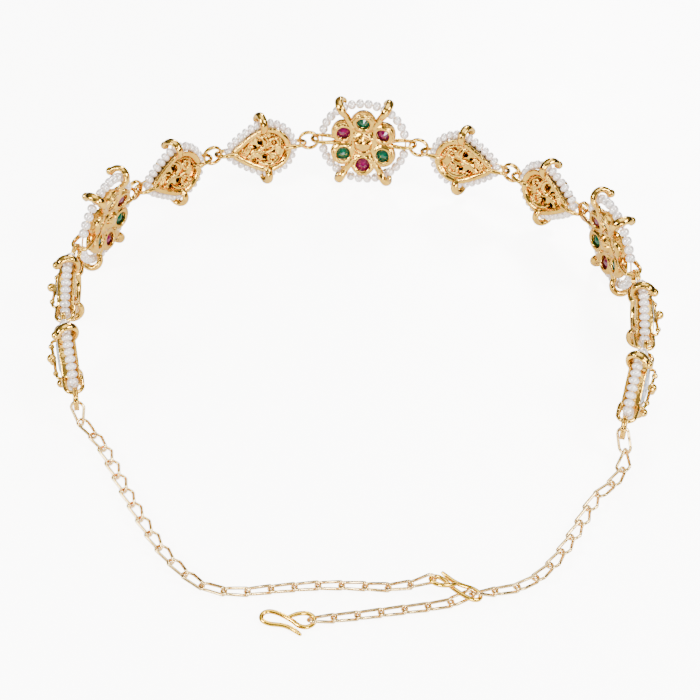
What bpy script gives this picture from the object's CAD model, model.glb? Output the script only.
import math

import bpy
import numpy as np
from bpy.props import FloatProperty, FloatVectorProperty, IntProperty, PointerProperty
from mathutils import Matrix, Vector


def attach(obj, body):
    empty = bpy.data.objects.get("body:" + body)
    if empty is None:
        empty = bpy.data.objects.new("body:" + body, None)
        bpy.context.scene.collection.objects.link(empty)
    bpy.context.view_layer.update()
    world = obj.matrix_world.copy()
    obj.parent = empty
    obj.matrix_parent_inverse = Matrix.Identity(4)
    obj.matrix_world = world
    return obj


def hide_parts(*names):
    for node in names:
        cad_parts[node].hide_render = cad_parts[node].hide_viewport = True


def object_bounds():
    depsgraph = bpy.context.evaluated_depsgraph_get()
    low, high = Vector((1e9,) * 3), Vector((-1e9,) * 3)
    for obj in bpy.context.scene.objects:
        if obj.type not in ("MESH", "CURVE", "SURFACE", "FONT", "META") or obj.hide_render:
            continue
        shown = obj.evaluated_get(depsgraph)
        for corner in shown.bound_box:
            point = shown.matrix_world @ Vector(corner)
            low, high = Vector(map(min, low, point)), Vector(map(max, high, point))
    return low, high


bl_info = {
    "name": "Pearl head chain",
    "version": (1, 0, 0),
    "blender": (4, 5, 0),
    "location": "View3D > Sidebar > Head chain",
    "description": "Dresses a gold head chain of flowers, leaves, pearls and links",
    "category": "Add Mesh",
}

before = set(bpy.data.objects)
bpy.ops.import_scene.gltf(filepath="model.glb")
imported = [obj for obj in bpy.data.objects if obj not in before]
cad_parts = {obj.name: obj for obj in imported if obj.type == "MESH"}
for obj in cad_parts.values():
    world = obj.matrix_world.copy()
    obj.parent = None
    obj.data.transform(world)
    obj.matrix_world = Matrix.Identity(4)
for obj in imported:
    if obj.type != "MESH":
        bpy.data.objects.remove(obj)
CAD_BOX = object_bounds()

MM = 0.001
# Tone of a piece whose points all have the same one
PLAIN_TONE = 0.5

# Kind, heading, lean, roll and height of every motif from left to right
MOTIFS = [
    ("leaf", 102, 0, 2, 11.5), ("leaf", 89, 0, 0, 11.6), ("flower", 65, -9, 1, 14.3),
    ("leaf", 42, 5, 0, 12.2), ("leaf", 11, 13, 2, 12.4), ("flower", -7, 6, 0, 14.4),
    ("leaf", -21, 11, -2, 12.4), ("leaf", -47, 6, 0, 12.2), ("flower", -70, -5, -1, 14.4),
    ("leaf", -91, 0, 0, 11.6), ("leaf", -107, 0, -2, 11.5),
]
CENTRE_MOTIF = 5
CENTRE_PLACE = (4.2, 92.3)
REACH = {"flower": 15.9, "leaf": 13.9}
LOOP_GAP = 2.2
FLOWERS = [i for i, m in enumerate(MOTIFS) if m[0] == "flower"]
LEAVES = [i for i, m in enumerate(MOTIFS) if m[0] == "leaf"]

# Flower: pearl ring, and the gap for an end loop in millimetres with the degrees that the pearls run into it;
# then cups, claws and dome
FLOWER_R = 12.9
STRING_GAP, STRING_RUN_IN = 2.9, 3.5
CUP_RING_R = 7.5
CUP_TILT = 14
CUP_ANGLES = (30, 90, 150, 210, 270, 330)
CLAW_ANGLES = (60, 120, 240, 300)
DOME_R = 3.3
LOOP_BOW_R = 2.3
# Claw: its bend's radius and ends, the ball at its tip and how far out that sits, and its strap's flatness
CLAW_BEND_R = 2.7
CLAW_START, CLAW_END = 140, -75
CLAW_BALL_R, CLAW_BALL_OUT = 1.25, 0.35
CLAW_FLAT = 1.38
# Inner end of a flower claw's shank: distance out and height
FLOWER_SHANK = (6.6, 1.7)
# Half an end loop's thickness at three distances from the motif's middle, and its back arm: out and height
LOOP_TAPER = ((7, 0.95), (9.5, 0.7), (13, 0.58))
FLOWER_LOOP_FOOT = [(7.4, 0.9), (9.2, 1.75), (11.2, 2.25), (12.2, 2.3)]
LEAF_LOOP_FOOT = [(7, 1.1), (7.7, 2.0), (8.6, 2.3), (11, 2.3)]
# Closed profiles of a flower's lobe and cup, radius and height; every other lobe is wider
LOBE_PROFILE = [(3.82, -0.1), (3.85, 1.6), (3.4, 1.8), (2.9, 1.7), (2.9, -0.1)]
LOBE_WIDER, LOBE_X = 0.12, -0.2
LOBE_RIM_R, LOBE_RIM_Z, LOBE_RIM_WIRE_R = 3.44, 1.72, 0.35
CUP_PROFILE = [
    (3.3, -1.2), (3.3, 1.9), (3.12, 2.35), (2.75, 2.52), (2.3, 2.48), (2.0, 2.2), (2.0, 1.6), (2.35, 1.4),
    (2.35, -1.2),
]
# Raised marks on the dome, which taper towards its top
DOME_MARK_ANGLES = (18, 54, 90, 126, 162)
# Web: reach of its lobes and the circle, inside a cup's wall, at which it ends
WEB_LOBE_R = 3.7
WEB_HOLE_R = 2.75
# Distance of those circles from the middle, as seen along the flower's axis, and the web's least reach
WEB_AXIS_R = CUP_RING_R - 0.35
WEB_LEAST_R = 6.0
# Web's back: its height, slope, and the height and width of its rise to a cup and to the dome
WEB_BACK_Z, WEB_SLOPE = 1.05, 0.16
WEB_CUP_RISE, WEB_CUP_RISE_W = 0.75, 0.75
WEB_DOME_RISE, WEB_DOME_RISE_W, WEB_DOME_RISE_R = 1.1, 0.8, 3.0
WEB_FRONT_Z = -0.1

# Leaf outline: its even steps, and radii and middles of its blunt end, pointed end and long sides
LEAF_STEPS = 96
BLUNT_R, TIP_R, SIDE_R = 8.0, 3.0, 40.0
BLUNT_X, TIP_X = -2.0, 7.0
SIDE_X = (TIP_X**2 - BLUNT_X**2 - (SIDE_R - TIP_R) ** 2 + (SIDE_R - BLUNT_R) ** 2) / (2 * (TIP_X - BLUNT_X))
SIDE_Y = math.sqrt((SIDE_R - BLUNT_R) ** 2 - (BLUNT_X - SIDE_X) ** 2)
BLUNT_ANGLE = math.degrees(math.atan2(SIDE_Y, BLUNT_X - SIDE_X))
TIP_ANGLE = math.degrees(math.atan2(SIDE_Y, TIP_X - SIDE_X))

# Chain: pitch, radii of a link's two ends and its play, then every kind of link: its narrow end's radius, the
# turns of its wide and narrow end, and the wire that it holds
LINK_PITCH, WIDE_R, NARROW_R, LINK_PLAY = 5.85, 1.83, 0.96, 0.24
LINK_WIRE, HOOK_WIRE, RING_WIRE = 0.75, 1.1, 0.7
PLAIN = (NARROW_R, -22, 62, LINK_WIRE)
AT_EYE = (1.3, -22, 81, HOOK_WIRE)
AT_LEAF = (NARROW_R, 37, 56, LINK_WIRE)
IN_CLASP = (NARROW_R, -42, 62, LINK_WIRE)
UNDER_CLASP = (NARROW_R, -17, 50, LINK_WIRE)
AT_RING = (1.45, -53, -10, RING_WIRE)
IN_TAIL_HOOK = (NARROW_R, -31, 62, LINK_WIRE)
LEFT_LINKS, RIGHT_LINKS, TAIL_LINKS = 23, 13, 7

# Double ring: radius of a turn and its distance from the middle in wires; then the rings at the ends of the
# row, which are turned from the motif's heading and shifted in their own plane
RING_R, RING_APART = 2.85, 0.46
END_RING_TURN, END_RING_SHIFTS = 4, (-0.65, 0.2)

# Hooks: the joining one's place, both hooks' turns about Z, Y and X, and the points that hold a link
CLASP_PLACE = (19.65, -84.4, 5.3)
CLASP_TURNS = (171, -16.3, 3.4)
CLASP_BAR = (-10.6, -0.15, -0.35)
CLASP_EYE = (0, 0, 0.6)
TAIL_HOOK_TURNS = (-8.6, 0, 5.4)
TAIL_EYE = (-1.55, 0, 0.73)

# Points on which the left, right and tail chains lie beyond the joining hook, then those of a hook's wire
LEFT_ROUTE = [
    (12, -84.2, 2.75), (5, -82.6, 1.25), (-6, -82.2, 1.25), (-17, -83.2, 1.25), (-28, -84.5, 1.25),
    (-36.4, -82.5, 1.25), (-43.3, -75.6, 1.25), (-49.7, -66, 1.25), (-57.6, -50, 1.25), (-65, -33, 1.25),
    (-67.54, -28.1, 1.25), (-71.93, -24.31, 2.78), (-72.78, -21.49, 3.85), (-73.25, -21.2, 8.26),
    (-73.4, -21.1, 11),
]
RIGHT_ROUTE = [
    (39.7, -83.8, 1.4), (45.7, -80.5, 1.25), (51.7, -73.7, 1.25), (58.4, -61.8, 1.25), (64.2, -50, 1.25),
    (69.84, -44.73, 1.35), (72.78, -37.32, 2.69), (71.34, -34.5, 5.79), (72.19, -32.83, 8.44),
    (72.1, -32.8, 11),
]
TAIL_ROUTE = [(22.6, -88.9, 1.06), (17.5, -89.7, 1.25), (9, -91.2, 1.25), (-2, -93, 1.25), (-12, -94.5, 1.7)]
HOOK_PATH = [
    (-2.9, -4, 0), (-5, -2.7, 0), (-7.5, -1.9, 0), (-10.8, -1.85, 0), (-12.7, -1.1, 0), (-13.2, 0.1, 0),
    (-12.6, 1.4, 0), (-11, 1.9, 0), (-8.5, 1.3, 0), (-5.6, -0.1, 0), (-3.6, -1.5, 0.1),
    (-1.8, -1.8, 0.25), (-0.5, -1.1, 0.4), (0, 0, 0.6), (-0.6, 1.2, 0.85), (-2.2, 1.7, 1.1),
    (-4.2, 1.2, 1.25), (-6.2, 0, 1.3),
]

# Floor, lights and camera in metres, watts and degrees: name, place, size and power of every light
FLOOR_HALF = 3.0
LIGHT_TARGET = (0, 0.01, 0.01)
LIGHTS = (
    ("top_light", (0.0, 0.1, 1.2), 0.9, 9),
    ("left_light", (-0.75, -0.35, 0.5), 0.25, 11),
    ("right_light", (0.6, -0.3, 0.55), 0.25, 9),
    ("back_light", (0.15, 0.8, 0.5), 0.16, 6),
    ("front_light", (0.1, -1.1, 0.3), 0.3, 12),
)
FOCAL_PIXELS, PICTURE_PIXELS, SENSOR_MM = 2132.2, 700, 36
CAMERA_ELEVATION, CAMERA_DISTANCE, CAMERA_AIM_Y = 40, 0.6, 0.01


# Curves and surfaces

def spin(axis, degrees):
    """Turn about X, Y or Z (axis 0, 1 or 2) by the right-hand rule."""
    c, s = math.cos(math.radians(degrees)), math.sin(math.radians(degrees))
    i, j = (axis + 1) % 3, (axis + 2) % 3
    m = np.eye(3)
    m[i, i] = m[j, j] = c
    m[i, j], m[j, i] = -s, s
    return m


def turned_by(turns):
    """Turn about X, then Y, then Z, with the angles given as Z, Y and X."""
    z, y, x = turns
    return spin(2, z) @ spin(1, y) @ spin(0, x)


def unit(v):
    """Vectors along the last axis, each divided by its length."""
    return v / np.linalg.norm(v, axis=-1, keepdims=True)


def curve(points, steps=8, closed=False):
    """Catmull-Rom curve: between two points each place is a cubic in t whose slopes are half the
    distance between the points' neighbours."""
    p = np.asarray(points, float)
    n = len(p)
    i = np.arange(n if closed else n - 1)
    near = (lambda k: k % n) if closed else (lambda k: np.clip(k, 0, n - 1))
    a, b, c, d = (p[near(i + k)][:, None, :] for k in (-1, 0, 1, 2))
    t = (np.arange(steps) / steps)[None, :, None]
    q = ((2 * b) + (c - a) * t + (2 * a - 5 * b + 4 * c - d) * t**2 + (3 * b - a - 3 * c + d) * t**3) / 2
    q = q.reshape(-1, p.shape[1])
    return q if closed else np.vstack([q, p[-1]])


def run_of(line):
    """Length of the line from its start to each of its points."""
    return np.concatenate([[0], np.cumsum(np.linalg.norm(np.diff(line, axis=0), axis=1))])


def along(line, lengths):
    """Places at the given lengths along a line; past its end they go on straight."""
    line = np.vstack([line, line[-1] + unit(line[-1] - line[-2]) * 50])
    run = run_of(line)
    return np.stack([np.interp(lengths, run, line[:, k]) for k in range(3)], axis=-1)


def arc(middle, r, start, end, n, plane="xy"):
    """Points on a circle of radius r about the middle, from the start to the end angle in degrees."""
    a = np.radians(np.linspace(start, end, n))
    u, v, o = r * np.cos(a), r * np.sin(a), np.zeros(n)
    flat = np.stack((u, v, o) if plane == "xy" else (u, o, v), axis=-1)
    return flat + np.asarray(middle, float)


def leaf_outline(off=0.0, n=LEAF_STEPS):
    """Four arcs that meet with one tangent: the leaf's outline moved out by off, as n even steps."""
    parts = [
        arc((TIP_X, 0, 0), TIP_R + off, -TIP_ANGLE, TIP_ANGLE, 40),
        arc((SIDE_X, -SIDE_Y, 0), SIDE_R + off, TIP_ANGLE, BLUNT_ANGLE, 40),
        arc((BLUNT_X, 0, 0), BLUNT_R + off, BLUNT_ANGLE, 360 - BLUNT_ANGLE, 120),
        arc((SIDE_X, SIDE_Y, 0), SIDE_R + off, 360 - BLUNT_ANGLE, 360 - TIP_ANGLE, 40),
    ]
    line = np.vstack([p[:-1] for p in parts] + [parts[0][:1]])
    return along(line, np.arange(n) / n * run_of(line)[-1])


def soften(profile, rounds=2):
    """Closed profile with its corners cut a quarter of the way along each side, as often as asked."""
    p = np.asarray(profile, float)
    for _ in range(rounds):
        q = np.roll(p, -1, axis=0)
        p = np.stack([0.75 * p + 0.25 * q, 0.25 * p + 0.75 * q], axis=1).reshape(-1, p.shape[1])
    return p


class Surface:
    """Points, faces and a tone for each point of one piece, gathered from grids of points."""

    def __init__(self):
        self.points, self.faces, self.tones, self.count = [], [], [], 0

    def grid(self, rows, loop=False, tone=PLAIN_TONE):
        """rows is (stations, points round, 3), closed round; loop also joins the last row to the first.
        Each face joins (i, j), (i, j+1), (i+1, j+1), (i+1, j); open ends are closed by flat faces."""
        n, m = rows.shape[:2]
        i, j = np.meshgrid(np.arange(n if loop else n - 1), np.arange(m), indexing="ij")
        k, l = (i + 1) % n, (j + 1) % m
        faces = np.stack([i * m + j, i * m + l, k * m + l, k * m + j], axis=-1).reshape(-1, 4) + self.count
        self.faces += faces.tolist()
        if not loop:
            ring = np.arange(m) + self.count
            self.faces += [ring[::-1].tolist(), (ring + (n - 1) * m).tolist()]
        self.points.append(rows.reshape(-1, 3))
        self.tones.append(np.full(n * m, tone))
        self.count += n * m

    def sweep(self, path, r, ref, sides=12, loop=False, flat=1.0):
        """Wire: at each station of the path an ellipse of radius r across the path's tangent. Its first
        axis is the tangent crossed with ref; its second, flat times as long, is the tangent crossed
        with the first."""
        path = np.asarray(path, float)
        ahead, back = np.roll(path, -1, axis=0), np.roll(path, 1, axis=0)
        if not loop:
            ahead[-1], back[0] = path[-1], path[0]
        t = unit(ahead - back)
        s = unit(np.cross(t, np.broadcast_to(ref, t.shape)))
        u = np.cross(t, s)
        a = 2 * np.pi * np.arange(sides) / sides
        r = np.broadcast_to(r, len(path))[:, None, None]
        ring = np.cos(a)[None, :, None] * s[:, None] + flat * np.sin(a)[None, :, None] * u[:, None]
        self.grid(path[:, None] + r * ring, loop=loop)

    def wire(self, path, r, ref, sides=12, flat=1.0):
        """Swept wire with both ends rounded: four more stations each, on a quarter circle."""
        path = np.asarray(path, float)
        q = np.array([0.35, 0.65, 0.87, 0.985])
        r = np.broadcast_to(np.asarray(r, float), len(path))
        head, tail = unit(path[0] - path[1]), unit(path[-1] - path[-2])
        first, last = path[0] + head * (q[::-1, None] * r[0]), path[-1] + tail * (q[:, None] * r[-1])
        fall = np.sqrt(1 - q**2)
        radii = np.concatenate([fall[::-1] * r[0], r, fall * r[-1]])
        self.sweep(np.vstack([first, path, last]), radii, ref, sides, flat=flat)

    def turned(self, profile, n, middle=(0, 0, 0), turn=None, loop=True):
        """Profile of (radius, height) carried round Z in n steps; it runs upwards on its outer side."""
        p = np.asarray(profile, float)
        a = 2 * np.pi * np.arange(n) / n
        rows = np.stack([p[:, 0:1] * np.cos(a), p[:, 0:1] * np.sin(a), p[:, 1:2] + 0 * a], axis=-1)
        rows = rows @ (np.eye(3) if turn is None else turn).T + np.asarray(middle, float)
        self.grid(rows, loop=loop)

    def ball(self, middle, r, n=16, turn=None):
        """Sphere: radius r cos(b), height r sin(b), for b from pole to pole."""
        b = np.radians(np.linspace(-86, 86, n // 2 + 1))
        self.turned(np.stack([r * np.cos(b), r * np.sin(b)], axis=-1), n, middle, turn, False)

    def add(self, points, faces):
        """Points and faces made another way."""
        self.points.append(points)
        self.faces += [[v + self.count for v in f] for f in faces]
        self.tones.append(np.full(len(points), PLAIN_TONE))
        self.count += len(points)

    def join(self, part):
        """Takes in the points, faces and tones of another surface."""
        self.points += part.points
        self.tones += part.tones
        self.faces += [[v + self.count for v in f] for f in part.faces]
        self.count += part.count

    def moved(self, turn, offset):
        """The same surface turned by a matrix and then moved; a mirroring turn also reverses the faces."""
        out = Surface()
        out.points = [np.vstack(self.points) @ turn.T + offset]
        out.faces = [f[::-1] for f in self.faces] if np.linalg.det(turn) < 0 else list(self.faces)
        out.tones, out.count = [np.concatenate(self.tones)], self.count
        return out

    def piece(self, name, material, slot, *nodes, crease=40):
        """Makes the mesh object in metres, which rides on the part and stands for the named nodes."""
        mesh = bpy.data.meshes.new(name)
        mesh.from_pydata((np.vstack(self.points) * MM).tolist(), [], self.faces)
        mesh.attributes.new("tone", "FLOAT", "POINT").data.foreach_set(
            "value", np.concatenate(self.tones).astype(np.float32))
        mesh.polygons.foreach_set("use_smooth", np.ones(len(mesh.polygons), bool))
        mesh.set_sharp_from_angle(angle=math.radians(crease))
        mesh.materials.append(material)
        mesh.validate()
        obj = bpy.data.objects.new(name, mesh)
        bpy.context.scene.collection.objects.link(obj)
        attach(obj, "root")
        if nodes:
            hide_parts(*nodes)
        return obj


# Places

def motif_turn(i):
    """Turn of a motif: rolled in its plane, stood up with its lean, then turned to its heading."""
    _, heading, lean, roll, _ = MOTIFS[i]
    return spin(2, heading) @ spin(0, 90 - lean) @ spin(2, roll)


def motif_places():
    """Middles of the motifs, each one loop gap from its neighbour, from the centre flower outwards."""
    place = {CENTRE_MOTIF: np.array([*CENTRE_PLACE, MOTIFS[CENTRE_MOTIF][4]])}
    for side in (1, -1):
        i = CENTRE_MOTIF
        while 0 <= i + side < len(MOTIFS):
            j = i + side
            h = math.radians((MOTIFS[i][1] + MOTIFS[j][1]) / 2)
            p = place[i] + motif_turn(i) @ [side * REACH[MOTIFS[i][0]], 0, 0]
            p = p + side * LOOP_GAP * np.array([math.cos(h), math.sin(h), 0])
            p = p + motif_turn(j) @ [side * REACH[MOTIFS[j][0]], 0, 0]
            place[j] = np.array([p[0], p[1], MOTIFS[j][4]])
            i = j
    return place


PLACES = motif_places()


def on_motif(i):
    """Matrix and offset of a motif; leaves left of the centre are mirror images."""
    mirrored = MOTIFS[i][0] == "leaf" and i < CENTRE_MOTIF
    return motif_turn(i) @ np.diag([-1.0 if mirrored else 1.0, 1, 1]), PLACES[i]


def loop_end(i, side):
    """Far end of a motif's end loop, at the middle of its wire."""
    return PLACES[i] + motif_turn(i) @ [side * REACH[MOTIFS[i][0]], 0, 0]


def on_clasp(v):
    """Point of the joining hook in its place."""
    return np.asarray(CLASP_PLACE, float) + turned_by(CLASP_TURNS) @ np.asarray(v, float)


LEFT_LINE = curve([on_clasp(CLASP_EYE)] + LEFT_ROUTE)
RIGHT_LINE = curve([on_clasp(CLASP_BAR)] + RIGHT_ROUTE)
TAIL_LINE = curve([on_clasp(CLASP_BAR)] + TAIL_ROUTE)


# Finishes

def new_material(name):
    """Empty node material: its nodes, its links, its surface shader and the object's coordinates."""
    mat = bpy.data.materials.new(name)
    mat.use_nodes = True
    nodes, links = mat.node_tree.nodes, mat.node_tree.links
    shader = nodes.get("Principled BSDF")
    coords = nodes.new("ShaderNodeTexCoord")
    return mat, nodes, links, shader, coords.outputs["Object"]


def set_inputs(node, values):
    """Gives a node's inputs constant values, by their names."""
    for key, value in values.items():
        node.inputs[key].default_value = value


def noise(nodes, links, coords, scale, detail=3.0, rough=0.5):
    """Noise over the object's own coordinates, scale in waves per metre."""
    n = nodes.new("ShaderNodeTexNoise")
    set_inputs(n, {"Scale": scale, "Detail": detail, "Roughness": rough})
    links.new(coords, n.inputs["Vector"])
    return n.outputs["Fac"]


def spread(nodes, links, value, low, high, from_low=0.3, from_high=0.7):
    """Value mapped to a new range."""
    n = nodes.new("ShaderNodeMapRange")
    set_inputs(n, {"From Min": from_low, "From Max": from_high, "To Min": low, "To Max": high})
    links.new(value, n.inputs["Value"])
    return n.outputs["Result"]


def blend(nodes, links, value, first, second):
    """Colour between two, by a value."""
    n = nodes.new("ShaderNodeMix")
    n.data_type = "RGBA"
    links.new(value, n.inputs[0])
    for socket, c in ((n.inputs[6], first), (n.inputs[7], second)):
        if isinstance(c, (tuple, list)):
            socket.default_value = (*c[:3], 1)
        else:
            links.new(c, socket)
    return n.outputs[2]


def relief(nodes, links, shader, height, distance, strength, under=None):
    """Bump from a height, its depth in metres, over another bump if given."""
    n = nodes.new("ShaderNodeBump")
    set_inputs(n, {"Strength": strength, "Distance": distance})
    links.new(height, n.inputs["Height"])
    if under is not None:
        links.new(under, n.inputs["Normal"])
    links.new(n.outputs["Normal"], shader.inputs["Normal"])
    return n.outputs["Normal"]


def tinted(colour, factor):
    """Colour times a factor for each channel."""
    return tuple(min(1.0, c * f) for c, f in zip(colour, factor))


def gold(name, colour, low, high, wave):
    """Polished gold: two close tones by a soft noise, roughness between low and high by a finer one, and
    uneven dents as deep as the wave, in metres, under a fine grain."""
    mat, nodes, links, shader, coords = new_material(name)
    tone = spread(nodes, links, noise(nodes, links, coords, 220), 0, 1)
    dark = tinted(colour, (0.9, 0.84, 0.72))
    links.new(blend(nodes, links, tone, dark, tuple(colour)), shader.inputs["Base Color"])
    set_inputs(shader, {"Metallic": 1.0})
    worn = spread(nodes, links, noise(nodes, links, coords, 900, 5.0, 0.6), low, high)
    links.new(worn, shader.inputs["Roughness"])
    first = relief(nodes, links, shader, noise(nodes, links, coords, 520), wave, 0.8)
    relief(nodes, links, shader, noise(nodes, links, coords, 3800, 4.0), 0.00003, 0.35, first)
    return mat


def pearl_lustre(colour):
    """Pearl: every pearl has its own tone, soft pinkish clouds, a half metallic lustre, a rosy sheen and a
    clear skin."""
    mat, nodes, links, shader, coords = new_material("pearl_lustre")
    own = nodes.new("ShaderNodeAttribute")
    own.attribute_name = "tone"
    body = blend(nodes, links, own.outputs["Fac"], tinted(colour, (0.93, 0.9, 0.86)), tuple(colour))
    cloud = spread(nodes, links, noise(nodes, links, coords, 700, 2.0), 0, 0.6)
    pink = tinted(colour, (0.95, 0.8, 0.76))
    links.new(blend(nodes, links, cloud, body, pink), shader.inputs["Base Color"])
    links.new(spread(nodes, links, noise(nodes, links, coords, 1500), 0.22, 0.34), shader.inputs["Roughness"])
    set_inputs(shader, {
        "Metallic": 0.5, "Subsurface Weight": 0.15, "Subsurface Radius": (0.0012, 0.0009, 0.0007),
        "Sheen Weight": 0.25, "Sheen Tint": (1, 0.72, 0.72, 1), "Coat Weight": 1.0, "Coat Roughness": 0.05,
        "Specular IOR Level": 0.6,
    })
    relief(nodes, links, shader, noise(nodes, links, coords, 1100, 3.0), 0.00004, 0.5)
    return mat


def cut_stone(name, colour, clear, ior):
    """Cut stone: deep and light patches like the light inside one, as clear as stated, very smooth."""
    mat, nodes, links, shader, coords = new_material(name)
    cells = nodes.new("ShaderNodeTexVoronoi")
    set_inputs(cells, {"Scale": 900})
    links.new(coords, cells.inputs["Vector"])
    spark = spread(nodes, links, cells.outputs["Distance"], 0, 1, 0.1, 0.75)
    light, dark = tinted(colour, (1.3, 1.3, 1.3)), tinted(colour, (0.7, 0.7, 0.7))
    links.new(blend(nodes, links, spark, light, dark), shader.inputs["Base Color"])
    links.new(spread(nodes, links, noise(nodes, links, coords, 1200), 0.02, 0.07), shader.inputs["Roughness"])
    set_inputs(shader, {"IOR": ior, "Transmission Weight": clear, "Coat Weight": 0.1, "Coat Roughness": 0.05})
    return mat


def pale_floor(colour, glow):
    """Pale sheet with a very faint cloud of tone; it is lit through from below, which only shows to the
    eye and not in what stands on it."""
    mat, nodes, links, shader, coords = new_material("pale_floor")
    tone = spread(nodes, links, noise(nodes, links, coords, 12, 4.0), 0, 1)
    dark = tinted(colour, (0.985, 0.985, 0.985))
    links.new(blend(nodes, links, tone, dark, tuple(colour)), shader.inputs["Base Color"])
    links.new(spread(nodes, links, noise(nodes, links, coords, 60), 0.32, 0.4), shader.inputs["Roughness"])
    sight = nodes.new("ShaderNodeLightPath").outputs["Is Camera Ray"]
    set_inputs(shader, {"Emission Color": (1, 0.99, 0.975, 1)})
    links.new(spread(nodes, links, sight, 0, glow, 0, 1), shader.inputs["Emission Strength"])
    return mat


def finish(key):
    """Finish for a kind of piece, made once."""
    made = bpy.data.materials.get(key)
    if made:
        return made
    c = bpy.context.scene.head_chain_colours
    makers = {
        "cast_gold": lambda: gold("cast_gold", c.cast_gold, 0.07, 0.18, 0.0004),
        "string_wire": lambda: gold("string_wire", c.cast_gold, 0.2, 0.32, 0.00003),
        "chain_gold": lambda: gold("chain_gold", c.chain_gold, 0.16, 0.28, 0.00004),
        "hook_gold": lambda: gold("hook_gold", c.hook_gold, 0.12, 0.22, 0.00005),
        "pearl_lustre": lambda: pearl_lustre(c.pearl),
        "ruby_glass": lambda: cut_stone("ruby_glass", c.ruby, 0.0, 1.6),
        "emerald_glass": lambda: cut_stone("emerald_glass", c.emerald, 0.0, 1.55),
        "crystal_glass": lambda: cut_stone("crystal_glass", c.crystal, 0.3, 1.55),
        "pale_floor": lambda: pale_floor(c.floor, 8.0),
    }
    return makers[key]()


# Flowers

def claw(surface, r, shank, turn):
    """Claw: a straight shank, then a strap bent round the pearls to a thick ball, drawn in the XZ plane.
    Its section is an ellipse, wider across the plane than in it, and it widens towards the bend."""
    a = np.radians(np.linspace(CLAW_START, CLAW_END, 26))
    hoop = np.stack([r + CLAW_BEND_R * np.cos(a), 0 * a, CLAW_BEND_R * np.sin(a)], axis=-1)
    foot = np.array([shank[0], 0, shank[1]], float)
    lead = foot + (hoop[0] - foot) * np.linspace(0, 0.8, 6)[:, None]
    path = np.vstack([lead, hoop])
    width = np.interp(np.arange(len(path)), [0, 6, 14, 24, len(path) - 1], [0.78, 0.82, 0.93, 0.95, 1.0])
    surface.wire(path @ turn.T, width, turn @ [0, 1, 0], 18, flat=CLAW_FLAT)
    tip = arc((r, 0, 0), CLAW_BEND_R + CLAW_BALL_OUT, CLAW_END, CLAW_END, 1, "xz")[0]
    surface.ball(turn @ tip, CLAW_BALL_R, 18, turn)


def bow(surface, x, foot, turn):
    """End loop: two arms from the frame's front and back, joined by a half circle in the XZ plane."""
    half = arc((x - LOOP_BOW_R, 0, 0), LOOP_BOW_R, 90, -90, 19, "xz")
    back = np.array([[fx, 0, fz] for fx, fz in foot], float)
    path = np.vstack([back, half, back[::-1] * [1, 1, -1]])
    width = np.interp(np.abs(path[:, 0]), *zip(*LOOP_TAPER))
    surface.wire(path @ turn.T, width, turn @ [0, 1, 0], 12)


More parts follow.
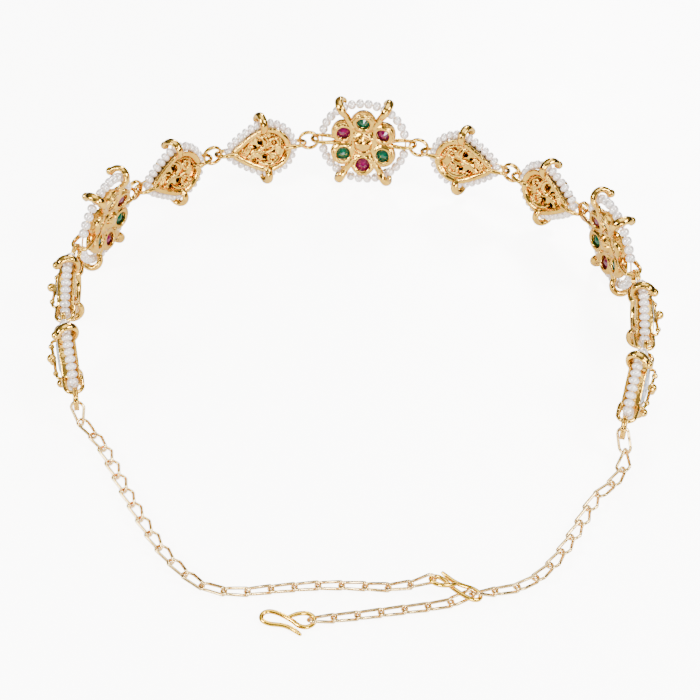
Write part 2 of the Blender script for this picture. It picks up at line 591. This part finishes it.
def flower_web(surface):
    """Metal between the cups and the dome, a closed shell over a polar grid. Its back is a saddle that
    rises to every cup's rim and to the dome; inside a cup's wall the grid is pulled onto a circle and
    open, and a wall joins back and front there and round the edge."""
    turns, steps = 180, 44
    angle = 2 * np.pi * np.arange(turns) / turns
    cups = np.radians(np.array(CUP_ANGLES))
    axis = WEB_AXIS_R * np.stack([np.cos(cups), np.sin(cups)], axis=-1)
    # Edge: the furthest reach of any lobe in each direction, and no less than a small circle
    ray = np.stack([np.cos(angle), np.sin(angle)], axis=-1)
    ahead = ray @ axis.T
    aside = np.abs(ray[:, 0:1] * axis[:, 1] - ray[:, 1:2] * axis[:, 0])
    chord = np.sqrt(np.maximum(WEB_LOBE_R**2 - aside**2, 0))
    reach = np.where(aside < WEB_LOBE_R, ahead + chord, WEB_LEAST_R)
    edge = reach.max(axis=1)
    share = (np.arange(steps) + 1) / steps
    flat = share[:, None, None] * edge[None, :, None] * ray[None]
    gap = flat[:, :, None, :] - axis[None, None]
    away = np.linalg.norm(gap, axis=-1)
    nearest = away.argmin(axis=-1)
    d = np.take_along_axis(away, nearest[..., None], axis=-1)[..., 0]
    inside = d < WEB_HOLE_R
    toward = np.take_along_axis(gap, nearest[..., None, None], axis=-2)[..., 0, :]
    on_circle = axis[nearest] + toward / np.maximum(d, 0.01)[..., None] * WEB_HOLE_R
    flat = np.where(inside[..., None], on_circle, flat)
    r = np.linalg.norm(flat, axis=-1)
    near = np.linalg.norm(flat[:, :, None, :] - axis[None, None], axis=-1).min(axis=-1)
    slope = WEB_SLOPE * (r - DOME_R)
    cup_rise = WEB_CUP_RISE * np.exp(-((near - WEB_HOLE_R) / WEB_CUP_RISE_W) ** 2)
    dome_rise = WEB_DOME_RISE * np.exp(-((r - WEB_DOME_RISE_R) / WEB_DOME_RISE_W) ** 2)
    back = WEB_BACK_Z + slope + cup_rise + dome_rise
    # The outermost row is lowered to round the edge
    back[-1] -= 0.5
    front = WEB_FRONT_Z + slope
    points = np.stack([np.concatenate([flat, z[..., None]], axis=-1) for z in (back, front)])
    i, j = np.meshgrid(np.arange(steps - 1), np.arange(turns), indexing="ij")
    k = (j + 1) % turns
    kept = ~(inside[i, j] & inside[i, k] & inside[i + 1, j] & inside[i + 1, k]) & (share[i] > 0.22)
    i, j, k = i[kept], j[kept], k[kept]
    quads = np.stack([i * turns + j, (i + 1) * turns + j, (i + 1) * turns + k, i * turns + k], axis=-1)
    # Sides of the kept cells that no neighbour shares are the borders, which get the wall
    sides = np.stack([quads, np.roll(quads, -1, axis=1)], axis=-1).reshape(-1, 2)
    count = steps * turns
    keys = sides[:, 0] * count + sides[:, 1]
    border = sides[~np.isin(sides[:, 1] * count + sides[:, 0], keys)]
    wall = np.stack([border[:, 1], border[:, 0], border[:, 0] + count, border[:, 1] + count], axis=-1)
    faces = np.concatenate([quads, quads[:, ::-1] + count, wall])
    used, faces = np.unique(faces, return_inverse=True)
    surface.add(points.reshape(-1, 3)[used], faces.reshape(-1, 4).tolist())


def flower_setting():
    """Flower's metal: six lobes with rims, six cups with round openings, a web, a dome, claws and loops.
    Lobes, cups and dome are profiles carried round their axes."""
    s = Surface()
    lobe, cup = soften(LOBE_PROFILE, 1), soften(CUP_PROFILE, 2)
    for k, angle in enumerate(CUP_ANGLES):
        turn = spin(2, angle) @ spin(1, -CUP_TILT)
        middle = spin(2, angle) @ [CUP_RING_R, 0, 0]
        wider = LOBE_WIDER * (k % 2)
        s.turned(lobe + [wider, 0], 48, middle + turn @ [LOBE_X, 0, 0], turn)
        s.turned(cup, 48, middle, turn)
        rim = arc((LOBE_X, 0, LOBE_RIM_Z), LOBE_RIM_R + wider, -80, 80, 28) @ turn.T + middle
        s.wire(rim, LOBE_RIM_WIRE_R, turn @ [0, 0, 1], 10)
    flower_web(s)
    b = np.radians(np.linspace(-87, 87, 31))
    s.turned(np.stack([DOME_R * np.cos(b), DOME_R * np.sin(b)], axis=-1), 56, loop=False)
    for angle in DOME_MARK_ANGLES:
        turn = spin(2, angle)
        mark = arc((0, 0, 0), DOME_R + 0.05, 28, 62, 8, "xz") @ turn.T
        s.wire(mark, np.linspace(0.42, 0.25, 8), turn @ [0, 1, 0], 8)
    for angle in CLAW_ANGLES:
        claw(s, FLOWER_R, FLOWER_SHANK, spin(2, angle))
    for angle in (0, 180):
        bow(s, REACH["flower"], FLOWER_LOOP_FOOT, spin(2, angle))
    return s


# Leaves

# Closed profile of the wall round the stone: outline offset and height
LEAF_WALL = [
    (-2.45, -1.45), (-2.45, -2.4), (-2.1, -2.75), (-1.7, -2.4), (-1.7, 0.6), (-1.3, 1.2), (-0.8, 1.85),
    (-1.0, 2.25), (-2.2, 2.25), (-2.9, 1.3), (-2.9, -1.45),
]
# Plate: offset and steps of its outline, middle's height, half its thickness without the bevel, and the bevel
PLATE_OFF, PLATE_STEPS = -2.55, 64
PLATE_Z, PLATE_HALF, PLATE_BEVEL = 0.2, 0.3, 0.1
# Its round openings, as X, Y and radius, and the places of its three slots and of the bars over them
LEAF_HOLES = [
    (-4.1, 1.9, 0.8), (-1.2, -2.3, 1.1), (-0.2, 2.6, 1.2), (-3.6, -1, 0.7), (1.9, -3.2, 0.9), (2.2, 0.9, 0.9),
]
SLOT_TURN, SLOT_PLACE, BAR_PLACE = -62, (5.1, 0.2, 0), (5.3, 0.3, 0)
SLOT_STEP = (0.9, -0.3, 0)
# Rings of the foil between the stone's back and the plate: outline offset and height
FOIL = ((-6, -1.3), (-2.7, -1.3), (-2.6, -1.2), (-2.7, -1.1), (-6, -1.1))
# Relief on the plate: its height, the S stem's radius and X, the eye ring's place, and each smaller stem's
# points, wire radius and rise over that height
RELIEF_Z = 0.95
S_STEM_R, S_STEM_X = 2.35, 1.2
EYE_X, EYE_Y = -4.1, 1.9
STEMS = (
    (((-4.9, 3), (-5.9, 3.6)), 0.5, 0),
    (((0.8, -0.2), (-1, -0.9), (-2.8, -0.6), (-3.9, 0.1)), 0.52, 0.1),
    (((-0.6, 4.6), (-1.9, 3.6), (-2.3, 2.2), (-1.7, 1)), 0.5, 0),
    (((2.2, -0.6), (3.5, -1.4), (4.5, -2.3)), 0.48, 0),
    (((2.6, 1.2), (3.8, 1.8), (4.4, 0.6)), 0.45, 0),
)
# Thick crescent inside the lower rim and row of grains inside the upper one, about the blunt end's middle
CRESCENT_R, CRESCENT_Z = 4.75, 1.2
GRAIN_ROW_R, GRAIN_ROW_Z, GRAIN_R = 4.85, 1.35, 0.36
# Sprig over the stone's front: its stem, two twigs, and its balls as place and radius
SPRIG_STEM = [(-7.9, 0, -2.5), (-6.9, 0, -4), (0, 0, -4), (6.6, 0, -4), (7.9, 0, -2.5)]
TWIGS = [[(-0.6, 0, -4), (1.2, 1.8, -4.4)], [(0.9, 0, -4), (-1.4, -1.9, -4.2)]]
SPRIG_BALLS = [
    ((-5.6, 0, -4.2), 0.85), ((5.4, 0, -4.2), 0.8), ((1.4, 2, -4.7), 1.3), ((-1.6, -2.1, -4.3), 0.95),
]
# Leaf's claws: their shank's inner end, from the middle of the blunt end, and how they lean and sit
LEAF_SHANK = (BLUNT_R - 2, 1.2)
LEAF_CLAW_LEAN, LEAF_CLAW_X = 15, BLUNT_X + 1.2


def leaf_plate(surface):
    """Pierced plate: a flat curve of the outline and its openings, filled, thickened and beveled."""
    flat = bpy.data.curves.new("leaf_plate", "CURVE")
    flat.dimensions, flat.fill_mode = "2D", "BOTH"
    flat.extrude, flat.bevel_depth, flat.bevel_resolution = PLATE_HALF, PLATE_BEVEL, 1
    loops = [leaf_outline(PLATE_OFF, PLATE_STEPS)]
    loops += [arc((x, y, 0), r + PLATE_BEVEL, 0, 360, 21)[:-1] for x, y, r in LEAF_HOLES]
    for k in (-1, 0, 1):
        slot = np.array([[1, 1, 0], [-1, 1, 0], [-1, -1, 0], [1, -1, 0]]) * [1.2 - 0.2 * abs(k), 0.26, 0]
        loops.append(slot @ spin(2, SLOT_TURN).T + SLOT_PLACE + k * np.array(SLOT_STEP))
    for points in loops:
        spline = flat.splines.new("POLY")
        spline.points.add(len(points) - 1)
        spline.points.foreach_set("co", np.c_[points, np.ones(len(points))].ravel())
        spline.use_cyclic_u = True
    holder = bpy.data.objects.new("leaf_plate", flat)
    bpy.context.scene.collection.objects.link(holder)
    mesh = bpy.data.meshes.new_from_object(holder.evaluated_get(bpy.context.evaluated_depsgraph_get()))
    co = np.empty(len(mesh.vertices) * 3, np.float32)
    mesh.vertices.foreach_get("co", co)
    co = co.reshape(-1, 3).astype(float) + [0, 0, PLATE_Z]
    surface.add(co, [list(p.vertices) for p in mesh.polygons])
    bpy.data.objects.remove(holder)
    bpy.data.meshes.remove(mesh)


def leaf_setting():
    """Leaf's metal: wall and bezel round the stone, pierced plate with its relief, sprig, claws and loops.
    Wall and foil are rows of the outline moved in or out, and the S stem rises and falls by one sine."""
    s = Surface()
    wall = soften(LEAF_WALL, 2)
    s.grid(np.stack([leaf_outline(off) + [0, 0, z] for off, z in wall]), loop=True)
    leaf_plate(s)
    s.grid(np.stack([leaf_outline(off) + [0, 0, z] for off, z in FOIL]))
    up = np.array([0, 0, 1.0])
    path = np.vstack([
        arc((S_STEM_X, S_STEM_R, RELIEF_Z), S_STEM_R, 60, 268, 20),
        arc((S_STEM_X, -S_STEM_R, RELIEF_Z), S_STEM_R, 90, -75, 18)])
    path[:, 2] += 0.35 * np.sin(np.linspace(0, 2 * np.pi, 38))
    s.wire(path, np.interp(np.arange(38), [0, 19, 37], [0.5, 0.78, 0.5]), up, 12)
    # Eye: a ring with a ball in it, and a curl below
    s.sweep(arc((EYE_X, EYE_Y, RELIEF_Z + 0.15), 1.3, 0, 346, 26), 0.52, up, 10, loop=True)
    s.ball((EYE_X, EYE_Y, RELIEF_Z - 0.3), 0.62, 12)
    s.wire(arc((-3.2, -3.0, RELIEF_Z), 1.35, 90, 380, 24), np.linspace(0.45, 0.62, 24), up, 10)
    for points, r, rise in STEMS:
        s.wire(curve([(x, y, RELIEF_Z + rise) for x, y in points], 5), r, up, 10)
    for k in (-1, 0, 1):
        half = spin(2, SLOT_TURN) @ [1.35 - 0.25 * k, 0, 0]
        middle = np.array(BAR_PLACE) + k * np.array(SLOT_STEP) + [0, 0, RELIEF_Z + 0.1]
        s.wire(curve([middle - half, middle + half], 5), 0.36, up, 10)
    lower = arc((BLUNT_X, 0, CRESCENT_Z), CRESCENT_R, 225, 318, 22)
    s.wire(lower, 0.3 + 0.55 * np.sin(np.linspace(0, np.pi, 22)), up, 10)
    for place in arc((BLUNT_X, 0, GRAIN_ROW_Z), GRAIN_ROW_R, 52, 168, 15):
        s.ball(place, GRAIN_R, 8)
    s.wire(curve(SPRIG_STEM, 6), 0.45, [0, 1, 0], 10)
    for twig in TWIGS:
        s.wire(twig, 0.35, up, 8)
    for place, r in SPRIG_BALLS:
        s.ball(place, r)
    for side in (-1, 1):
        part = Surface()
        claw(part, BLUNT_R, LEAF_SHANK, spin(2, 90 * side) @ spin(0, -side * LEAF_CLAW_LEAN))
        s.join(part.moved(np.eye(3), np.array([LEAF_CLAW_X, 0, 0])))
    for angle in (0, 180):
        bow(s, REACH["leaf"], LEAF_LOOP_FOOT, spin(2, angle))
    return s


# Pearls

# Tilt from the line, then the shares of the diameter and of the spacing that a pearl may have
PEARL_TILT, PEARL_ACROSS, PEARL_LENGTH = 0.035, (0.955, 1.0), (0.93, 0.985)


def pearl_row(line, diameter, count, seed):
    """Pearls along a line: each is a rondelle, its radius the diameter's half times a flattened cosine of
    the angle from its middle, its length a little under its share of the line. Sizes, tilts and tones
    vary."""
    rng = np.random.default_rng(seed)
    sides = 14
    b = np.radians(np.array([-76, -58, -38, -14, 14, 38, 58, 76]))
    a = 2 * np.pi * np.arange(sides) / sides
    r = np.cos(b) ** 0.72
    rows = np.stack([np.sin(b)[:, None] + 0 * a, r[:, None] * np.cos(a), r[:, None] * np.sin(a)], axis=-1)
    spacing = run_of(line)[-1] / count
    s = (np.arange(count) + 0.5) * spacing
    middle = along(line, s)
    t = unit(unit(along(line, s + 0.2) - along(line, s - 0.2)) + rng.normal(0, PEARL_TILT, (count, 3)))
    side = unit(np.cross(t, [0, 0, 1.0]))
    axes = np.stack([t, side, np.cross(t, side)], axis=1)
    across = diameter / 2 * rng.uniform(*PEARL_ACROSS, count)
    length = spacing / 2 * rng.uniform(*PEARL_LENGTH, count)
    size = np.stack([length, across, across], axis=-1)
    out = Surface()
    for k in range(count):
        out.grid((rows * size[k]) @ axes[k] + middle[k], tone=rng.uniform(0, 1))
    return out


def flower_strings():
    """The two arcs of a flower's pearls, between its end loops."""
    gap = math.degrees(math.asin(STRING_GAP / FLOWER_R)) - STRING_RUN_IN
    return [arc((0, 0, 0), FLOWER_R, a + gap, a + 180 - gap, 90) for a in (0, 180)]


# Chain, rings and hooks

def link_path(ends):
    """Teardrop: a wide and a narrow half circle, each turned about the link's length, joined by a curve."""
    narrow_r, wide_turn, narrow_turn, held = ends
    narrow_x = LINK_PITCH - narrow_r + (LINK_WIRE + held) / 2 + LINK_PLAY
    wide = arc((WIDE_R, 0, 0), WIDE_R, 90, 270, 11) @ spin(0, wide_turn).T
    narrow = arc((narrow_x, 0, 0), narrow_r, 270, 450, 9) @ spin(0, narrow_turn).T
    return curve(np.vstack([wide, narrow]), 2, closed=True)


def lay_link(surface, start, end, ends, wire):
    """One link from the point where its wide end lies towards the next one's."""
    u = unit(end - start)
    turn = spin(2, math.degrees(math.atan2(u[1], u[0]))) @ spin(1, -math.degrees(math.asin(u[2])))
    ref = turn @ spin(0, (ends[1] + ends[2]) / 2) @ [0, 0, 1]
    surface.sweep(link_path(ends) @ turn.T + start, wire / 2, ref, 10, loop=True)


# Settings

def length_setting(name, description, default, low, high):
    """Length setting in metres with its name, description, default and range."""
    return FloatProperty(
        name=name, description=description, default=default, min=low, max=high, unit="LENGTH", precision=5)


class HeadChainSizes(bpy.types.PropertyGroup):
    """Sizes that a user may change."""
    pearl_diameter: length_setting("Pearl diameter", "Across a pearl's string", 0.0029, 0.002, 0.0029)
    flower_pearls: IntProperty(
        name="Pearls on an arc", description="Pearls on an arc of a flower", default=14, min=12, max=16)
    leaf_pearls: IntProperty(
        name="Pearls on a leaf", description="Pearls round each leaf", default=27, min=20, max=28)
    string_wire: length_setting("String wire", "Thickness of the pearls' wire", 0.0005, 0.0003, 0.0008)
    link_wire: length_setting("Link wire", "Thickness of a link's wire", 0.00084, 0.0005, 0.00085)
    ring_wire: length_setting("Ring wire", "Thickness of a jump ring's wire", 0.0008, 0.0005, 0.0008)
    hook_wire: length_setting("Hook wire", "Thickness of a hook's wire", 0.00118, 0.0008, 0.0012)


def colour_setting(name, description, default):
    """Colour setting with its name, description and default."""
    return FloatVectorProperty(
        name=name, description=description, default=default, min=0, max=1, size=3, subtype="COLOR")


class HeadChainColours(bpy.types.PropertyGroup):
    """Colours that a user may change."""
    cast_gold: colour_setting("Cast gold", "Flowers, leaves and rings", (0.8, 0.49, 0.08))
    chain_gold: colour_setting("Chain gold", "Links of the chain", (0.92, 0.66, 0.28))
    hook_gold: colour_setting("Hook gold", "The two wire hooks", (0.97, 0.6, 0.05))
    pearl: colour_setting("Pearl", "Skin of the pearls", (1.0, 0.96, 0.92))
    ruby: colour_setting("Ruby", "Red stones", (0.14, 0.0, 0.045))
    emerald: colour_setting("Emerald", "Green stones", (0.0, 0.075, 0.035))
    crystal: colour_setting("Crystal", "Clear pear stones", (0.6, 0.68, 0.78))
    floor: colour_setting("Floor", "Sheet that the chain lies on", (0.93, 0.925, 0.915))


# Operators

def place_settings(setting, kind, motifs):
    """Makes a kind's metal once for every motif of that kind, in its place."""
    for k, i in enumerate(motifs, 1):
        placed = setting.moved(*on_motif(i))
        placed.piece(f"{kind}_setting_{k}", finish("cast_gold"), "gold", f"{kind}_frame_{k}")


class HEADCHAIN_OT_flowers(bpy.types.Operator):
    """Makes the metal of the three flowers"""
    bl_idname = "head_chain.flowers"
    bl_label = "Flower settings"

    def execute(self, context):
        place_settings(flower_setting(), "flower", FLOWERS)
        return {"FINISHED"}


class HEADCHAIN_OT_leaves(bpy.types.Operator):
    """Makes the metal of the eight leaves"""
    bl_idname = "head_chain.leaves"
    bl_label = "Leaf settings"

    def execute(self, context):
        place_settings(leaf_setting(), "leaf", LEAVES)
        return {"FINISHED"}


class HEADCHAIN_OT_pearls(bpy.types.Operator):
    """Strings the pearls of every flower and leaf on their wires"""
    bl_idname = "head_chain.pearls"
    bl_label = "Pearls and string wires"

    def execute(self, context):
        sizes = context.scene.head_chain_sizes
        wide, thin = sizes.pearl_diameter / MM, sizes.string_wire / MM / 2
        leaf_ring = leaf_outline(0, 120)
        kinds = (
            ("flower", FLOWERS, arc((0, 0, 0), FLOWER_R, 0, 356, 90), flower_strings(), sizes.flower_pearls),
            ("leaf", LEAVES, leaf_ring, [np.vstack([leaf_ring, leaf_ring[:1]])], sizes.leaf_pearls),
        )
        for kind, motifs, ring, lines, count in kinds:
            for k, i in enumerate(motifs, 1):
                row = Surface()
                for j, line in enumerate(lines):
                    row.join(pearl_row(line, wide, count, 100 * i + j))
                row.moved(*on_motif(i)).piece(
                    f"{kind}_pearl_row_{k}", finish("pearl_lustre"), "pearl", f"{kind}_pearls_{k}", crease=60)
                wire = Surface()
                wire.sweep(ring, thin, [0, 0, 1], 8, loop=True)
                wire.moved(*on_motif(i)).piece(f"{kind}_string_wire_{k}", finish("string_wire"), "gold")
        return {"FINISHED"}


class HEADCHAIN_OT_stones(bpy.types.Operator):
    """Gives the cut stones, and the solids that other pieces stand for, their finishes"""
    bl_idname = "head_chain.stones"
    bl_label = "Stones"

    def execute(self, context):
        kinds = {
            "flower_rubies": "ruby_glass", "flower_emeralds": "emerald_glass", "leaf_stone": "crystal_glass",
            "flower_pearls": "pearl_lustre", "leaf_pearls": "pearl_lustre", "chain": "chain_gold",
            "clasp_hook": "hook_gold", "tail_hook": "hook_gold",
        }
        for name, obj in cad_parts.items():
            key = next((v for k, v in kinds.items() if name.startswith(k)), "cast_gold")
            obj.data.materials.clear()
            obj.data.materials.append(finish(key))
        return {"FINISHED"}


class HEADCHAIN_OT_rings(bpy.types.Operator):
    """Makes the twelve double jump rings"""
    bl_idname = "head_chain.rings"
    bl_label = "Jump rings"

    def execute(self, context):
        wire = context.scene.head_chain_sizes.ring_wire / MM
        last = len(MOTIFS) - 1
        left, right = along(LEFT_LINE, LEFT_LINKS * LINK_PITCH), along(RIGHT_LINE, RIGHT_LINKS * LINK_PITCH)
        places = [(left, loop_end(0, -1), MOTIFS[0][1] - END_RING_TURN, END_RING_SHIFTS[0])]
        for i in range(last):
            a, b = loop_end(i, 1), loop_end(i + 1, -1)
            places.append((a, b, math.degrees(math.atan2(b[1] - a[1], b[0] - a[0])), 0))
        places.append((loop_end(last, 1), right, MOTIFS[last][1] + END_RING_TURN, END_RING_SHIFTS[1]))
        for k, (a, b, heading, shift) in enumerate(places, 1):
            s = Surface()
            turn = spin(2, heading) @ spin(0, 90)
            for side in (-1, 1):
                ring = arc((shift, 0, side * RING_APART * RING_WIRE), RING_R, 0, 352.5, 48)
                s.sweep(ring @ turn.T + (a + b) / 2, wire / 2, turn @ [0, 0, 1], 10, loop=True)
            s.piece(f"double_ring_{k}", finish("cast_gold"), "gold", f"jump_ring_{k}")
        return {"FINISHED"}


class HEADCHAIN_OT_chains(bpy.types.Operator):
    """Lays the links of both chain runs and of the free tail"""
    bl_idname = "head_chain.chains"
    bl_label = "Chains"

    def execute(self, context):
        wire = context.scene.head_chain_sizes.link_wire / MM
        left, right = Surface(), Surface()
        # Surface, line and links of a run, its first and last link, and if the wide ends face away from
        # its start
        runs = (
            (left, LEFT_LINE, LEFT_LINKS, AT_EYE, AT_LEAF, True),
            (right, RIGHT_LINE, RIGHT_LINKS, IN_CLASP, AT_RING, False),
            (right, TAIL_LINE, TAIL_LINKS, UNDER_CLASP, IN_TAIL_HOOK, True),
        )
        for surface, line, count, first, last, away in runs:
            p = along(line, np.arange(count + 1) * LINK_PITCH)
            for k in range(count):
                ends = first if k == 0 else last if k == count - 1 else PLAIN
                start, end = (p[k + 1], p[k]) if away else (p[k], p[k + 1])
                lay_link(surface, start, end, ends, wire)
        left.piece("left_chain_links", finish("chain_gold"), "pale_gold", "chain_left", crease=60)
        right.piece("right_chain_links", finish("chain_gold"), "pale_gold", "chain_right", crease=60)
        return {"FINISHED"}


class HEADCHAIN_OT_hooks(bpy.types.Operator):
    """Bends the joining hook and the free hook"""
    bl_idname = "head_chain.hooks"
    bl_label = "Wire hooks"

    def execute(self, context):
        r = context.scene.head_chain_sizes.hook_wire / MM / 2
        line = curve(HOOK_PATH, 4)
        tips = np.interp(np.arange(len(line)), [0, 3, len(line) - 4, len(line) - 1], [0.75, 1, 1, 0.75]) * r
        tail_end = along(TAIL_LINE, TAIL_LINKS * LINK_PITCH)
        hooks = (
            ("joining_hook_wire", "clasp_hook", CLASP_TURNS, (0, 0, 0), CLASP_PLACE),
            ("free_hook_wire", "tail_hook", TAIL_HOOK_TURNS, TAIL_EYE, tail_end),
        )
        for name, node, turns, pivot, place in hooks:
            turn = turned_by(turns)
            s = Surface()
            s.wire((line - pivot) @ turn.T + place, tips, turn @ [0, 0, 1], 14)
            s.piece(name, finish("hook_gold"), "yellow_gold", node)
        return {"FINISHED"}


def soft_light(name, place, size, power):
    """Square area light at a place, aimed at the chain's middle."""
    data = bpy.data.lights.new(name, "AREA")
    data.shape, data.size, data.energy = "SQUARE", size, power
    lamp = bpy.data.objects.new(name, data)
    lamp.location = place
    lamp.rotation_euler = (Vector(LIGHT_TARGET) - Vector(place)).to_track_quat("-Z", "Y").to_euler()
    bpy.context.scene.collection.objects.link(lamp)


class HEADCHAIN_OT_stage(bpy.types.Operator):
    """Sets the pale floor, the soft lights and the camera"""
    bl_idname = "head_chain.stage"
    bl_label = "Floor, lights and camera"

    def execute(self, context):
        scene = context.scene
        low, far = float(CAD_BOX[0][2]), FLOOR_HALF
        corners = [(-far, -far, low), (far, -far, low), (far, far, low), (-far, far, low)]
        mesh = bpy.data.meshes.new("pale_sheet")
        mesh.from_pydata(corners, [], [(0, 1, 2, 3)])
        mesh.materials.append(finish("pale_floor"))
        sheet = bpy.data.objects.new("pale_sheet", mesh)
        scene.collection.objects.link(sheet)
        world = bpy.data.worlds.new("dim_room")
        world.use_nodes = True
        nodes, links = world.node_tree.nodes, world.node_tree.links
        split = nodes.new("ShaderNodeSeparateXYZ")
        links.new(nodes.new("ShaderNodeTexCoord").outputs["Generated"], split.inputs["Vector"])
        height = spread(nodes, links, split.outputs["Z"], 0.03, 0.5, 0.3, 0.85)
        links.new(height, nodes["Background"].inputs["Strength"])
        nodes["Background"].inputs["Color"].default_value = (1, 0.985, 0.96, 1)
        scene.world = world
        for light in LIGHTS:
            soft_light(*light)
        data = bpy.data.cameras.new("view")
        data.sensor_width = SENSOR_MM
        data.lens = FOCAL_PIXELS * SENSOR_MM / PICTURE_PIXELS
        data.clip_start = 0.01
        elevation = math.radians(CAMERA_ELEVATION)
        back, high = CAMERA_DISTANCE * math.cos(elevation), CAMERA_DISTANCE * math.sin(elevation)
        camera = bpy.data.objects.new("view", data)
        camera.location = (0, CAMERA_AIM_Y - back, high)
        camera.rotation_euler = (math.pi / 2 - elevation, 0, 0)
        scene.collection.objects.link(camera)
        scene.camera = camera
        return {"FINISHED"}


class HEADCHAIN_PT_panel(bpy.types.Panel):
    """Sizes, colours and steps of the head chain"""
    bl_idname = "HEADCHAIN_PT_panel"
    bl_label = "Head chain"
    bl_space_type = "VIEW_3D"
    bl_region_type = "UI"
    bl_category = "Head chain"

    def draw(self, context):
        for group in (context.scene.head_chain_sizes, context.scene.head_chain_colours):
            for key in type(group).__annotations__:
                self.layout.prop(group, key)
        for step in STEPS:
            self.layout.operator(step.bl_idname)


STEPS = (
    HEADCHAIN_OT_stage, HEADCHAIN_OT_stones, HEADCHAIN_OT_flowers, HEADCHAIN_OT_leaves, HEADCHAIN_OT_pearls,
    HEADCHAIN_OT_rings, HEADCHAIN_OT_chains, HEADCHAIN_OT_hooks,
)
CLASSES = (HeadChainSizes, HeadChainColours, *STEPS, HEADCHAIN_PT_panel)


def register():
    for cls in CLASSES:
        bpy.utils.register_class(cls)
    bpy.types.Scene.head_chain_sizes = PointerProperty(type=HeadChainSizes)
    bpy.types.Scene.head_chain_colours = PointerProperty(type=HeadChainColours)


def unregister():
    del bpy.types.Scene.head_chain_colours
    del bpy.types.Scene.head_chain_sizes
    for cls in reversed(CLASSES):
        bpy.utils.unregister_class(cls)


def main():
    register()
    for step in STEPS:
        group, name = step.bl_idname.split(".")
        getattr(getattr(bpy.ops, group), name)()


if __name__ == "__main__":
    main()
